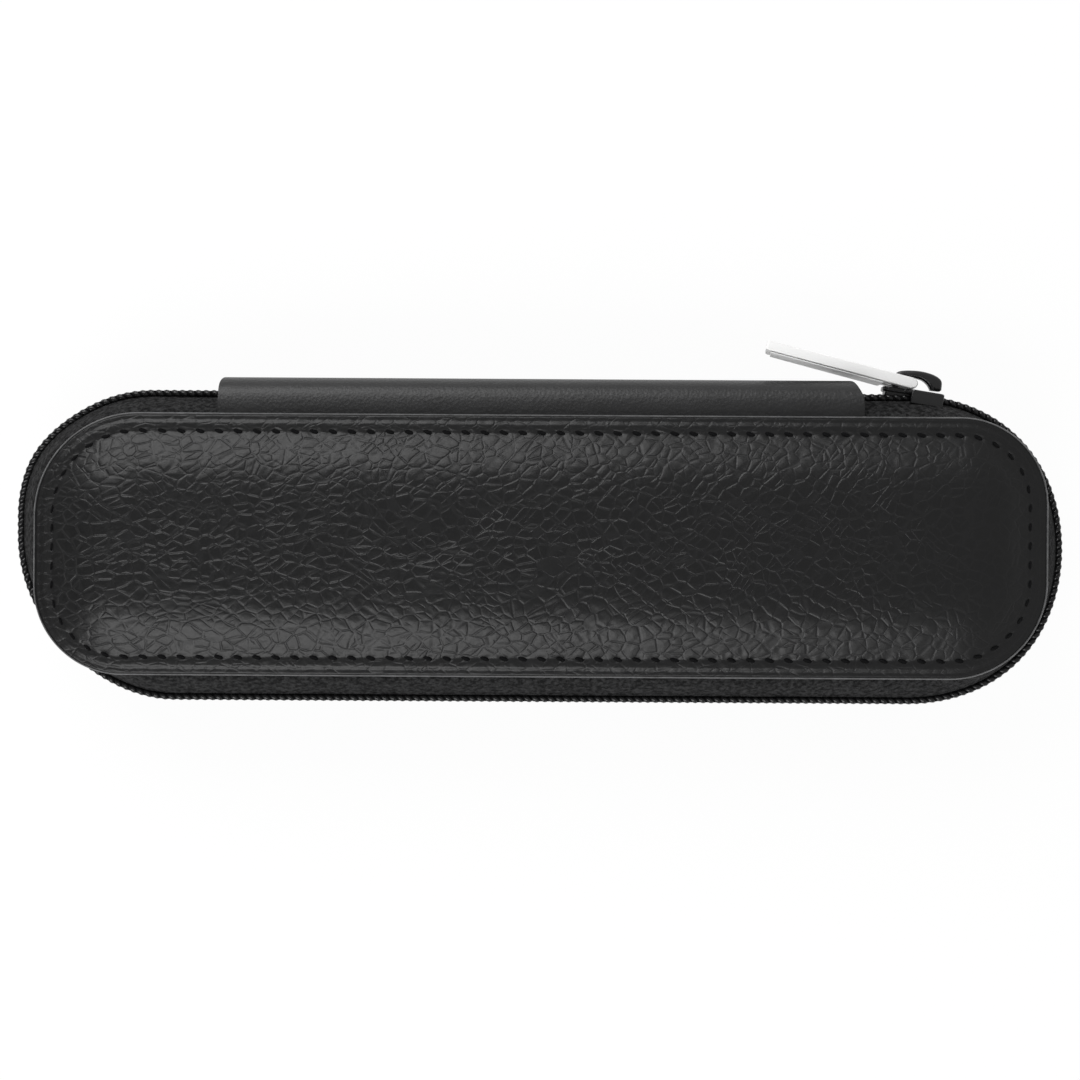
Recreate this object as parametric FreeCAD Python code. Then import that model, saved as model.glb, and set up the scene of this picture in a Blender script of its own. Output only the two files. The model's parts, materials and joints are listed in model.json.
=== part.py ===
"""Slim two-pen zip case: two padded leather panels, a leather spine and a coil zip round three sides.

Frame, in millimetres: X runs along the case, Y points to the spine side, Z points up.
The case lies on its back panel. The origin is on that resting face, below the middle of the panels.
"""
import FreeCAD, Part
import math
import os

V = FreeCAD.Vector
UP = V(0, 0, 1)
TINY = 1e-3

# Overall sizes
case_depth = 25.0
panel_length = 160.4
panel_width = 41.5
panel_radius = 15.0
panel_offset_y = -0.95

# Leather, foam, board and lining of one panel
leather_skin = 1.2
panel_edge_height = 4.4
panel_shoulder = 3.4
margin_width = 4.2
padding_thickness = 2.2
lining_thickness = 0.8
lining_inset = 1.9
filling_gap = 0.15

# Saddle stitches round each panel
stitch_inset = 3.0
stitch_pitch = 3.0
stitch_length = 2.1
stitch_width = 0.7
stitch_height = 0.45
stitch_groove_gap = 0.1
stitch_groove_depth = 0.6

# Zip ring, measured to the outer face of the coil
zip_overhang_end = 4.4
zip_overhang_bottom = 4.6
zip_overhang_top = 4.2
zip_upper_left_radius = 21.0
tape_thickness = 0.6
coil_thickness = 1.9
coil_width = 4.0
coil_slit = 0.8
seat_gap = 0.05

# Spine
spine_end_setback = 7.45
spine_reach = 6.2
spine_thickness = 1.2
spine_corner = 3.0
spine_tuck = 4.0
spine_lining_thickness = 0.6
spine_lining_margin = 3.5

# Zip stops
top_stop_length = 1.4
top_stop_inset = 3.2
top_stop_lip = 0.15
bottom_stop_length = 1.5
bottom_stop_width = 2.2

# Slider
slider_length = 10.2
slider_rail = 1.0
slider_tilt = 3.5
slider_plate = 0.65
slider_inner_plate = 0.7
slider_clearance = 0.4
slider_side_clearance = 0.4
slider_post_length = 2.6
slider_post_gap = 0.15
slider_nose_radius = 2.6
slider_tail_radius = 1.2

# Hook crown on the slider
crown_width = 1.8
crown_thickness = 1.25
crown_opening_length = 4.9
crown_bend_radius = 1.9
crown_shift = 0.0
crown_mouth = 0.5

# Puller
puller_length = 24.3
puller_width = 6.2
puller_eye_width = 4.8
puller_thickness = 1.4
puller_tip_bevel = 1.5
puller_angle = 15.5
puller_window_length = 3.9
puller_side_clearance = 0.35
puller_leg_clearance = 1.0
puller_bar_clearance = 0.225

# Elastic pen bands
pen_space_radius = 4.5
band_thickness = 0.9
band_length = 18.0
band_foot = 2.4
band_edge_gap = 0.45
band_headroom = 0.3
band_spacing = 78.0

# Levels and edges worked out from the sizes above
middle_z = case_depth / 2
half_length = panel_length / 2
panel_front_y = panel_offset_y - panel_width / 2
panel_spine_y = panel_offset_y + panel_width / 2
tape_level = panel_edge_height
lining_level = tape_level + tape_thickness
inside_level = lining_level + lining_thickness
zip_left = -half_length - zip_overhang_end
zip_right = half_length + zip_overhang_end
zip_bottom = panel_front_y - zip_overhang_bottom
zip_top = panel_spine_y + zip_overhang_top
zip_end_radius = (zip_top - zip_bottom) / 2
zip_middle_y = (zip_top + zip_bottom) / 2
zip_turn_x = zip_right - zip_end_radius
upper_left_radius = min(zip_upper_left_radius, zip_end_radius)
coil_bottom = middle_z - coil_width / 2
coil_top = middle_z - coil_slit / 2
spine_outer_y = panel_spine_y + spine_reach
spine_inner_y = spine_outer_y - spine_thickness
spine_half_length = zip_turn_x - spine_end_setback
tuck_half_length = spine_half_length - spine_tuck
top_stop_x = spine_half_length - top_stop_inset
fold_y = spine_inner_y + spine_thickness / 2
fold_low_z = tape_level + tape_thickness / 2
puller_half = puller_thickness / 2
slider_turn = V(zip_turn_x, zip_middle_y, middle_z)
slider_width = coil_width + 2 * (slider_side_clearance + slider_rail)
slider_top_y = zip_top + slider_clearance + slider_plate
crown_opening_height = puller_thickness + 2 * puller_bar_clearance
crown_left_x = zip_turn_x + crown_shift - crown_opening_length / 2
pivot_x = crown_left_x + puller_half + puller_leg_clearance
pivot_y = slider_top_y + crown_opening_height / 2
pen_space_height = case_depth - 2 * inside_level - band_thickness - band_headroom
band_width = panel_width - 2 * (lining_inset + band_edge_gap)
pen_space_width = (band_width - 3 * band_foot - 4 * band_thickness) / 2


def arc(centre_x, centre_y, radius, start_degrees, end_degrees):
    """Circular edge in the XY plane."""
    points = []
    for degrees in (start_degrees, (start_degrees + end_degrees) / 2, end_degrees):
        angle = math.radians(degrees)
        points.append(V(centre_x + radius * math.cos(angle), centre_y + radius * math.sin(angle), 0))
    return Part.Arc(*points).toShape()


def joined(arcs):
    """Closed face whose arcs, in counter-clockwise order, are joined by straight edges."""
    edges = []
    for here, after in zip(arcs, arcs[1:] + arcs[:1]):
        edges.append(here)
        start = here.valueAt(here.LastParameter)
        end = after.valueAt(after.FirstParameter)
        if start.distanceToPoint(end) > TINY:
            edges.append(Part.LineSegment(start, end).toShape())
    return Part.Face(Part.Wire(edges))


def panel_face(grow):
    """Outline of a panel, grown outwards by the given distance."""
    radius = panel_radius + grow
    reach_x = half_length - panel_radius
    low_y = panel_front_y + panel_radius
    high_y = panel_spine_y - panel_radius
    return joined([
        arc(reach_x, low_y, radius, -90, 0),
        arc(reach_x, high_y, radius, 0, 90),
        arc(-reach_x, high_y, radius, 90, 180),
        arc(-reach_x, low_y, radius, 180, 270),
    ])


def zip_face(grow):
    """Outline of the zip ring, grown outwards: round at the right, squarer at the upper left."""
    upper_x = zip_left + upper_left_radius
    upper_y = zip_top - upper_left_radius
    lower_x = zip_left + zip_end_radius
    return joined([
        arc(zip_turn_x, zip_middle_y, zip_end_radius + grow, -90, 0),
        arc(zip_turn_x, zip_middle_y, zip_end_radius + grow, 0, 90),
        arc(upper_x, upper_y, upper_left_radius + grow, 90, 180),
        arc(lower_x, zip_middle_y, zip_end_radius + grow, 180, 270),
    ])


def slab(face, low, high):
    """Solid between two levels with the given plan."""
    lifted = face.copy()
    lifted.translate(UP * low)
    return lifted.extrude(UP * (high - low))


def ring(outer, inner, low, high):
    """Solid between two plans and two levels."""
    return slab(outer, low, high).cut(slab(inner, low, high))


def block(x_range, y_range, z_range):
    """Box between pairs of coordinates."""
    low = V(x_range[0], y_range[0], z_range[0])
    size = V(x_range[1], y_range[1], z_range[1]) - low
    return Part.makeBox(size.x, size.y, size.z, low)


def edges_along(shape, axis):
    """Straight edges that run along the named axis."""
    found = []
    for edge in shape.Edges:
        bounds = edge.BoundBox
        spans = {"X": bounds.XLength, "Y": bounds.YLength, "Z": bounds.ZLength}
        along = spans.pop(axis)
        if along > TINY and max(spans.values()) < TINY:
            found.append(edge)
    return found


def to_front(shape):
    """Front half's copy of a back piece, mirrored in the plane of the zip."""
    return shape.mirror(V(0, 0, middle_z), UP)


def make_cover():
    """Leather skin with a rounded shoulder, a pocket for the filling and a groove for the stitches."""
    cover = slab(panel_face(0), 0, panel_edge_height)
    low_edges = [edge for edge in cover.Edges if edge.BoundBox.ZMax < TINY]
    cover = cover.makeFillet(panel_shoulder, low_edges)
    pocket = slab(panel_face(-margin_width), leather_skin, panel_edge_height)
    half_groove = stitch_width / 2 + stitch_groove_gap
    groove_outer = panel_face(-stitch_inset + half_groove)
    groove_inner = panel_face(-stitch_inset - half_groove)
    groove = ring(groove_outer, groove_inner, 0, stitch_groove_depth)
    return cover.cut(pocket).cut(groove)


def make_padding():
    """Foam sheet on the leather."""
    return slab(panel_face(-margin_width - filling_gap), leather_skin, leather_skin + padding_thickness)


def make_board():
    """Stiff board between the foam and the lining."""
    return slab(panel_face(-margin_width - filling_gap), leather_skin + padding_thickness, lining_level)


def make_lining():
    """Lining sheet that covers the board and the inner edge of the tape."""
    within_tape = slab(zip_face(-coil_thickness - tape_thickness - seat_gap), lining_level, inside_level)
    return slab(panel_face(-lining_inset), lining_level, inside_level).common(within_tape)


def make_stitching():
    """Row of separate stitches that lie in the groove of the cover."""
    path = panel_face(-stitch_inset).OuterWire
    count = round(path.Length / stitch_pitch)
    step = path.Length / count
    stitches = []
    travelled = 0.0
    target = step / 2
    for edge in path.OrderedEdges:
        while target < travelled + edge.Length and len(stitches) < count:
            along = edge.getParameterByLength(target - travelled)
            place = edge.valueAt(along)
            heading = edge.tangentAt(along)
            stitch = Part.makeBox(
                stitch_length, stitch_width, stitch_height, V(-stitch_length / 2, -stitch_width / 2, 0))
            stitch.rotate(V(0, 0, 0), UP, math.degrees(math.atan2(heading.y, heading.x)))
            stitch.translate(place + UP * (stitch_groove_depth - stitch_height))
            stitches.append(stitch)
            target += step
        travelled += edge.Length
    return Part.makeCompound(stitches)


def make_tape():
    """Woven tape: a flange under the panel's edge and a wall up to the coil, open behind the spine."""
    outer = zip_face(-coil_thickness)
    inner = zip_face(-coil_thickness - tape_thickness)
    flange = ring(outer, panel_face(-margin_width), tape_level, lining_level)
    spine_side = (panel_offset_y, spine_outer_y)
    along_spine = (-spine_half_length - seat_gap, spine_half_length + seat_gap)
    flange = flange.cut(block(along_spine, spine_side, (tape_level, lining_level)))
    wall = ring(outer, inner, tape_level, coil_top)
    wall = wall.cut(block(along_spine, spine_side, (tape_level, lining_level + 2 * seat_gap)))
    wall = wall.cut(block((-tuck_half_length, tuck_half_length), spine_side, (tape_level, coil_top)))
    return flange.fuse(wall).removeSplitter()


def make_coil():
    """Band that one half of the coil fills, from the bottom stop round to the top stop."""
    band = ring(zip_face(0), zip_face(-coil_thickness + seat_gap), coil_bottom, coil_top)
    gap = (-tuck_half_length, top_stop_x + top_stop_length + seat_gap)
    return band.cut(block(gap, (panel_offset_y, spine_outer_y), (coil_bottom, coil_top)))


def make_top_stop():
    """Clamp that ends one coil behind the end of the spine."""
    x_range = (top_stop_x, top_stop_x + top_stop_length)
    y_range = (zip_top - coil_thickness + seat_gap, zip_top + top_stop_lip)
    return block(x_range, y_range, (coil_bottom - top_stop_lip, coil_top))


def make_bottom_stop():
    """Clamp that holds both coils together behind the other end of the spine."""
    x_start = -tuck_half_length + 2 * seat_gap
    y_range = (zip_top - coil_thickness, spine_inner_y - spine_lining_thickness - seat_gap)
    half_width = bottom_stop_width / 2
    return block(
        (x_start, x_start + bottom_stop_length), y_range, (middle_z - half_width, middle_z + half_width))


def spine_block(outer_y, low, high, corner):
    """Solid with the spine's rounded section, from the seam under the panels to the given reach."""
    seam_y = panel_spine_y - margin_width
    bend = corner * (1 - math.sqrt(0.5))

    def at(y, z):
        return V(-spine_half_length, y, z)

    lower = Part.Arc(at(outer_y - corner, low), at(outer_y - bend, low + bend), at(outer_y, low + corner))
    upper = Part.Arc(at(outer_y, high - corner), at(outer_y - bend, high - bend), at(outer_y - corner, high))
    edges = [
        Part.LineSegment(at(seam_y, low), at(outer_y - corner, low)).toShape(),
        lower.toShape(),
        Part.LineSegment(at(outer_y, low + corner), at(outer_y, high - corner)).toShape(),
        upper.toShape(),
        Part.LineSegment(at(outer_y - corner, high), at(seam_y, high)).toShape(),
        Part.LineSegment(at(seam_y, high), at(seam_y, low)).toShape(),
    ]
    return Part.Face(Part.Wire(edges)).extrude(V(2 * spine_half_length, 0, 0))


def make_spine_leather():
    """Leather strip with a flank, skived as thin as the tape, under the edge of each panel."""
    low = tape_level
    high = case_depth - tape_level
    outer = spine_block(spine_outer_y, low, high, spine_corner)
    inner = spine_block(
        spine_inner_y, low + tape_thickness, high - tape_thickness, spine_corner - tape_thickness)
    return outer.cut(inner)


def make_spine_lining():
    """Lining strip on the inner face of the spine, between the tucked ends of the zip."""
    half = tuck_half_length - spine_lining_margin
    low = lining_level + spine_lining_margin
    return block(
        (-half, half), (spine_inner_y - spine_lining_thickness, spine_inner_y), (low, case_depth - low))


def make_pen_band(centre_x):
    """Elastic band sewn down beside and between two pens, so that it makes two tunnels."""
    foot_level = inside_level
    top = foot_level + pen_space_height + band_thickness
    pitch = pen_space_width + 2 * band_thickness + band_foot
    outer_half = pen_space_width / 2 + band_thickness
    x_range = (centre_x - band_length / 2, centre_x + band_length / 2)
    feet = (panel_offset_y - band_width / 2, panel_offset_y + band_width / 2)
    band = block(x_range, feet, (foot_level, foot_level + band_thickness))
    tunnels = []
    for side in (-1, 1):
        centre_y = panel_offset_y + side * pitch / 2
        outer = block(x_range, (centre_y - outer_half, centre_y + outer_half), (foot_level, top))
        inner_half = pen_space_width / 2
        inner_y = (centre_y - inner_half, centre_y + inner_half)
        inner = block(x_range, inner_y, (foot_level, foot_level + pen_space_height))
        outer = round_top(outer, top, pen_space_radius + band_thickness)
        tunnels.append(round_top(inner, foot_level + pen_space_height, pen_space_radius))
        band = band.fuse(outer)
    for tunnel in tunnels:
        band = band.cut(tunnel)
    return band.removeSplitter()


def round_top(box, level, radius):
    """Round the upper edges of a box that run along X."""
    upper = [edge for edge in edges_along(box, "X") if edge.BoundBox.ZMin > level - TINY]
    return box.makeFillet(radius, upper)


def on_turn(shape):
    """Carry a piece from the top of the zip's end turn to the slider's resting place."""
    placed = shape.copy()
    placed.rotate(slider_turn, UP, -slider_tilt)
    return placed


def turn_ring(low_radius, high_radius, half_width):
    """Full ring about the axis of the zip's end turn, centred on the zip's plane."""
    base = V(zip_turn_x, zip_middle_y, middle_z - half_width)
    outer = Part.makeCylinder(high_radius, 2 * half_width, base)
    return outer.cut(Part.makeCylinder(low_radius, 2 * half_width, base))


def make_crown():
    """Open hook on the slider that the puller's eye hangs on."""
    inner_right = crown_left_x + crown_opening_length
    inner_top = slider_top_y + crown_opening_height
    z_range = (middle_z - crown_width / 2, middle_z + crown_width / 2)
    outer = block(
        (crown_left_x - crown_thickness, inner_right + crown_thickness),
        (slider_top_y, inner_top + crown_thickness), z_range)
    inner = block((crown_left_x, inner_right), (slider_top_y, inner_top), z_range)
    outer = round_bend(outer, inner_top + crown_thickness, crown_bend_radius)
    inner = round_bend(inner, inner_top, crown_bend_radius - crown_thickness)
    mouth = block(
        (inner_right, inner_right + crown_thickness), (slider_top_y, slider_top_y + crown_mouth), z_range)
    return outer.cut(inner).cut(mouth)


def round_bend(box, level, radius):
    """Round the edges of a box that run along Z at the given height in Y."""
    upper = [edge for edge in edges_along(box, "Z") if edge.BoundBox.YMin > level - TINY]
    return box.makeFillet(radius, upper)


def make_slider():
    """Slider with two plates, rails over the coils, a post at its nose and a hook crown."""
    half = slider_length / 2
    half_width = slider_width / 2
    coil_radius = zip_end_radius + slider_clearance
    tape_radius = zip_end_radius - coil_thickness
    inner_radius = tape_radius - tape_thickness - slider_clearance
    end_drop = inner_radius - math.sqrt(inner_radius ** 2 - half ** 2)
    low_y = zip_middle_y + inner_radius - end_drop - slider_inner_plate
    body = block(
        (zip_turn_x - half, zip_turn_x + half), (low_y, slider_top_y),
        (middle_z - half_width, middle_z + half_width))
    nose = [edge for edge in edges_along(body, "Y") if edge.BoundBox.XMax < zip_turn_x]
    body = body.makeFillet(slider_nose_radius, nose)
    tail = [edge for edge in edges_along(body, "Y") if edge.BoundBox.XMin > zip_turn_x]
    body = body.makeFillet(slider_tail_radius, tail)
    post_half = coil_slit / 2 - slider_post_gap
    post = body.common(block(
        (zip_turn_x - half, zip_turn_x - half + slider_post_length), (low_y, slider_top_y),
        (middle_z - post_half, middle_z + post_half)))
    coil_channel = turn_ring(inner_radius, coil_radius, coil_width / 2 + slider_side_clearance)
    tape_slot = turn_ring(inner_radius, tape_radius + slider_clearance, slider_width)
    body = body.cut(coil_channel).cut(tape_slot)
    return on_turn(body.fuse(post).fuse(make_crown()).removeSplitter())


def make_puller():
    """Flat puller with a window near its eye, so that its round end bar hangs in the hook."""
    cheek_half = puller_eye_width / 2
    window_half = crown_width / 2 + puller_side_clearance
    window_end = puller_half + puller_window_length
    shoulder = window_end + (puller_width - puller_eye_width)
    half = puller_width / 2
    corners = [
        V(0, 0, cheek_half), V(-window_end, 0, cheek_half), V(-shoulder, 0, half),
        V(-puller_length + puller_tip_bevel, 0, half), V(-puller_length, 0, half - puller_tip_bevel),
    ]
    outline = corners + [V(point.x, 0, -point.z) for point in reversed(corners)]
    plate = Part.Face(Part.makePolygon(outline + outline[:1]))
    plate.translate(V(0, -puller_half, 0))
    plate = plate.extrude(V(0, puller_thickness, 0))
    eye = Part.makeCylinder(puller_half, puller_eye_width, V(0, 0, -cheek_half))
    window = block(
        (-window_end, puller_half), (-puller_half, puller_half), (-window_half, window_half))
    puller = plate.fuse(eye).cut(window)
    bar = Part.makeCylinder(puller_half, 2 * window_half, V(0, 0, -window_half))
    puller = puller.fuse(bar).removeSplitter()
    puller.rotate(V(0, 0, 0), UP, slider_tilt - puller_angle)
    puller.translate(V(pivot_x, pivot_y, middle_z))
    return on_turn(puller)


back_pieces = {
    "cover": make_cover(),
    "padding": make_padding(),
    "board": make_board(),
    "lining": make_lining(),
    "stitching": make_stitching(),
    "zip_tape": make_tape(),
    "zip_coil": make_coil(),
    "top_stop": make_top_stop(),
}
pieces = {
    "spine_leather": make_spine_leather(),
    "spine_lining": make_spine_lining(),
    "zip_bottom_stop": make_bottom_stop(),
    "left_pen_band": make_pen_band(-band_spacing / 2),
    "right_pen_band": make_pen_band(band_spacing / 2),
    "slider_body": make_slider(),
    "zip_puller": make_puller(),
}
for name, shape in back_pieces.items():
    pieces["back_" + name] = shape
    pieces["front_" + name] = to_front(shape)

os.makedirs("parts", exist_ok=True)
for name, shape in pieces.items():
    shape.exportStep("parts/" + name + ".step")
    print(name, len(shape.Solids), shape.isValid(), round(shape.Volume, 2))
pivot = V(pivot_x, pivot_y, middle_z)
print("zip turn axis", slider_turn)
print("puller pivot", slider_turn + FreeCAD.Rotation(UP, -slider_tilt).multVec(pivot - slider_turn))
print("fold lines: y", fold_y, "z", fold_low_z, case_depth - fold_low_z)
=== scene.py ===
"""Looks of a slim zipped pen case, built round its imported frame.

Lengths are in metres. X runs along the case, Y points to the spine side, Z points up.
"""
import json
import math

import bmesh
import bpy
import numpy as np
from mathutils import Matrix, Vector
from mathutils.kdtree import KDTree


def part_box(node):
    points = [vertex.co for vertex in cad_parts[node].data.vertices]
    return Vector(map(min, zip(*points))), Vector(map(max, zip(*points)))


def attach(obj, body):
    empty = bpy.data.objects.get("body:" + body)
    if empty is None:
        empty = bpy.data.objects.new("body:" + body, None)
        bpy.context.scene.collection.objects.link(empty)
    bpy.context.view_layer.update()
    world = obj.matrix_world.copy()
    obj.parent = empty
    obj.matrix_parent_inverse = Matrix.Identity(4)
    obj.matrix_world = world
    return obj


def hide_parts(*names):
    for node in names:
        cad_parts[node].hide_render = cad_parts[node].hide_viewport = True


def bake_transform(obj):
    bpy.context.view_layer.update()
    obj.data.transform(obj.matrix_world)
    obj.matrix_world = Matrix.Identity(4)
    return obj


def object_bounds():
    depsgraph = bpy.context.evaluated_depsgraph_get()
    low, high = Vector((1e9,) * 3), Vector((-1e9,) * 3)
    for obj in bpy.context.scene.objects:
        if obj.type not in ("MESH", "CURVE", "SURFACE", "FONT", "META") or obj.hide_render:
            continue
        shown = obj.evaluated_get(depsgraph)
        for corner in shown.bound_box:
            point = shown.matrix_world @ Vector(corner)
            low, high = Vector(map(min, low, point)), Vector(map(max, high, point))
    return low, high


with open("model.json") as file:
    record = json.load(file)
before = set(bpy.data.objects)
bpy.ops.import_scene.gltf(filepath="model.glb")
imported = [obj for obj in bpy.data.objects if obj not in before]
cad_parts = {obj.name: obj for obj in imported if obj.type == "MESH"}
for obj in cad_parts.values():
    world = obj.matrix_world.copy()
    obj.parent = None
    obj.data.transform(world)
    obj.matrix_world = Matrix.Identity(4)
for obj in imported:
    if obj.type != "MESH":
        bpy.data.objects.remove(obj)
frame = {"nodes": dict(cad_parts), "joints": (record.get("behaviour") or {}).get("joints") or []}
cad_low, cad_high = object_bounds()
MM = 0.001

# Places taken from the frame
front_low, front_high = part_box("front_cover")
back_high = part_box("back_cover")[1]
ring_low, ring_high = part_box("front_zip_coil")
spine_low, spine_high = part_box("spine_leather")
lining_low, lining_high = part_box("front_lining")
back_lining_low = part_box("back_lining")[0]
joint_places = {joint["name"]: Vector(joint["pos_m"]) for joint in frame["joints"]}
slider_turn = joint_places["slider_run"]
puller_pivot = joint_places["puller_flip"]
MIDDLE = slider_turn.z

# The front is the side towards +Z, the back the side towards -Z.
SIDES = (1, -1)

# Panels: corner radii run from the lower right anticlockwise
PANEL_RADII = np.array([15.4, 13.7, 16.3, 13.9]) * MM
PANEL_ROWS = 165
PANEL_COLUMNS = 560
PANEL_HEIGHT = front_high.z - front_low.z
PANEL_SEEDS = {1: 5, -1: 23}
LEFT_SET_IN = 0.3 * MM
EDGE_PAINT = 0.15 * MM
EDGE_HEIGHT = 1.0 * MM
EDGE_ROUND = 0.4 * MM
STEP_INSET = 0.85 * MM
STEP_RUN = 0.7 * MM
STEP_HEIGHT = 0.24 * MM
MARGIN_RISE = 0.16 * MM
MARGIN_END = 9.0 * MM
SEAM_INSET = 2.8 * MM
SEAM_DEPTH = 0.08 * MM
SEAM_WIDTH = 0.4 * MM
PAD_RUN = 4.2 * MM
PAD_POWER = 1.5
PAD_CROWN = 0.35 * MM
CROWN_RUN = 12.0 * MM
POCKET_INSET = 4.2 * MM
POCKET_DEPTH = 1.0 * MM

# Leather grain: two families of wavy creases that cross. Each has a spacing, the sine of its slant at
# the middle of the case, how much that changes per metre along X, and a seed.
CREASES = (
    (1.8 * MM, 0.67, 1.9, 11),
    (1.9 * MM, -0.58, 0.3, 31),
)
WOBBLES = ((0.4, 7.0 * MM), (0.12, 2.4 * MM))
MOST_SLANT = 0.97
GRAIN_DEPTH = 0.04 * MM
GRAIN_RUN = 0.6 * MM

# The grain is weaker on the margin, and fades over these runs: at the edge, past the seam, and along X to the
# right, where each fade has a loss, a start and a run.
MARGIN_GRAIN = 0.65
EDGE_FADE = 0.8 * MM
SEAM_FADE = 1.5 * MM
RIGHT_FADES = ((0.15, 0.0, 50.0 * MM), (0.5, 50.0 * MM, 25.0 * MM))

# Stitches
STITCH_PITCH = 3.0 * MM
STITCH_LENGTH = 1.5 * MM
STITCH_RADIUS = 0.26 * MM
STITCH_SLANT = math.radians(-20)
STITCH_DIVE = 0.5 * MM
STITCH_LIFT = 0.1 * MM
DIMPLE_DEPTH = 0.14 * MM
DIMPLE_LENGTH = 0.9 * MM
DIMPLE_WIDTH = 0.45 * MM
DIMPLE_REACH = 1.2 * MM
FINE_STITCH = 0.2 * MM

# Zip: the ring is measured to the outer face of the coil
END_RADIUS = (ring_high.y - ring_low.y) / 2
RING_RADII = np.array([END_RADIUS, END_RADIUS, 22.0 * MM, END_RADIUS])
RING_BULGE = 0.022
RING_SHIFT = 1.6 * MM
SHIFT_START = (-58.0 * MM, 8.0 * MM)
SHIFT_RUN = (24.0 * MM, 14.0 * MM)
COIL_THICKNESS = 1.4 * MM
COIL_PITCH = 1.28 * MM
COIL_WIRE = 0.25 * MM
COIL_STRAND = 0.44 * MM
COIL_SLANT = 0.2 * MM
COIL_REACH = 2.0 * MM
COIL_OVERLAP = 0.4 * MM
CORD_GAP = 0.13 * MM
TAPE_THICKNESS = 0.6 * MM
TAPE_EDGE = 1.5 * MM
TAPE_SET_BACK = 0.15 * MM
TAPE_GAP = 0.35 * MM
TAPE_TUCK = 2.6 * MM
TUCK_X = 48.0 * MM
TUCK_RUN = 2.0 * MM
TUCK_SHARE = 0.75
TUCK_DEPTH = 4.5 * MM
SPINE_SIDE = 3.0 * MM
CLAMP_WALL = 0.45 * MM

# The tape's bulge as Bezier values: how far out it is and how much of its depth is left, from root to coil.
BULGE_OUT = (0, 0.6, 0.8, 1)
BULGE_DEPTH = (1, 1, 0.35, 0)
BULGE_END = 1.7 * MM

# Spine
SPINE_LEFT = -51.2 * MM
SPINE_RIGHT = 51.3 * MM
SPINE_THICKNESS = 1.2 * MM
SPINE_POWER = 3.4
SPINE_TURN = 0.8 * MM
SPINE_CLEAR = 0.25 * MM
SPINE_CORNER = 3.0 * MM
LEFT_CUT = 0.5 * MM
RIGHT_CUT = 1.35 * MM
RIGHT_ROUND = 0.35 * MM

# Inside
LINING_SEAM = 1.6 * MM
LINING_GAP = 0.1 * MM
LINING_ROUND = 0.6 * MM
LINING_SEAM_DEPTH = 0.25 * MM
LINING_SEAM_WIDTH = 0.5 * MM
PUFF_HEIGHT = 0.08 * MM
PUFF_SIZE = (17.0 * MM, 9.0 * MM)
BAND_THICKNESS = 0.9 * MM
BAND_FOOT = 2.4 * MM
BAND_STITCH_PITCH = 2.2 * MM

# Slider and puller
SLIDER_PLACE = math.radians(-1.7)
SLIDER_TILT = math.radians(-7.3)
PULLER_ANGLE = math.radians(14.4)
PULLER_LENGTH = 24.4 * MM
PULLER_WIDTH = 6.2 * MM
PULLER_THICKNESS = 1.5 * MM
PULLER_FIELD = 0.16 * MM
FIELD_START = 4.5 * MM
FIELD_END = 0.7 * MM
PULLER_GROOVE = 0.12 * MM
PULLER_SLOT = 2.5 * MM
PULLER_FORK = 4.2 * MM
PULLER_PIN = 0.8 * MM
PULLER_EYE = 1.15
PULLER_SLANT = 0.12
PULLER_SHIFT = Vector((-0.45, -0.35, 0)) * MM

# Floor, light and camera
FLOOR_WHITE = 0.94
BACKDROP = 0.96
HORIZON = (0.06, 0.2)
WORLD_LIGHT = (0.17, 0.48)
WORLD_RUN = 0.25
LAMP_SIZE = (0.64, 0.46)
LAMPS = (
    ("upper_left", (-0.25, 0.55, 0.46), 4.7),
    ("lower_left", (-0.2, -0.55, 0.54), 4.8),
)
CAMERA_LENS = 61.5
CAMERA_HEIGHT = 0.3
CAMERA_ROLL = math.radians(0.35)


# Mesh helpers

def piece(name, parts, materials, body=None, replaces=(), smooth_angle=40):
    """One mesh object from (vertices, faces, material indices) parts, riding on a body if one is given."""
    vertices = []
    faces = []
    indices = []
    for points, polygons, index in parts:
        start = len(vertices)
        vertices.extend(map(tuple, np.asarray(points, float).reshape(-1, 3)))
        faces.extend([tuple(start + corner for corner in polygon) for polygon in polygons])
        indices.extend(np.broadcast_to(index, len(polygons)).tolist())
    mesh = bpy.data.meshes.new(name)
    mesh.from_pydata(vertices, [], faces)
    for material in materials:
        mesh.materials.append(material)
    mesh.polygons.foreach_set("material_index", indices)
    mesh.polygons.foreach_set("use_smooth", [True] * len(faces))
    shape = bmesh.new()
    shape.from_mesh(mesh)
    bmesh.ops.recalc_face_normals(shape, faces=shape.faces)
    shape.to_mesh(mesh)
    shape.free()
    mesh.set_sharp_from_angle(angle=math.radians(smooth_angle))
    made = bpy.data.objects.new(name, mesh)
    bpy.context.scene.collection.objects.link(made)
    if body:
        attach(made, body)
    if replaces:
        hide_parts(*replaces)
    return made


def grid_faces(rows, columns, start=0, wrap=False):
    """Quads of a grid of points stored row by row; wrap joins each row's end to its beginning."""
    faces = []
    last = columns if wrap else columns - 1
    for row in range(rows - 1):
        for column in range(last):
            a = start + row * columns + column
            b = start + row * columns + (column + 1) % columns
            faces.append((a, b, b + columns, a + columns))
    return faces


def rim_of(rows, columns):
    """Indices of the points round a grid's rim, in order."""
    bottom = list(range(columns))
    right = [row * columns + columns - 1 for row in range(1, rows)]
    top = [(rows - 1) * columns + column for column in reversed(range(columns - 1))]
    left = [row * columns for row in reversed(range(1, rows - 1))]
    return bottom + right + top + left


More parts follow.
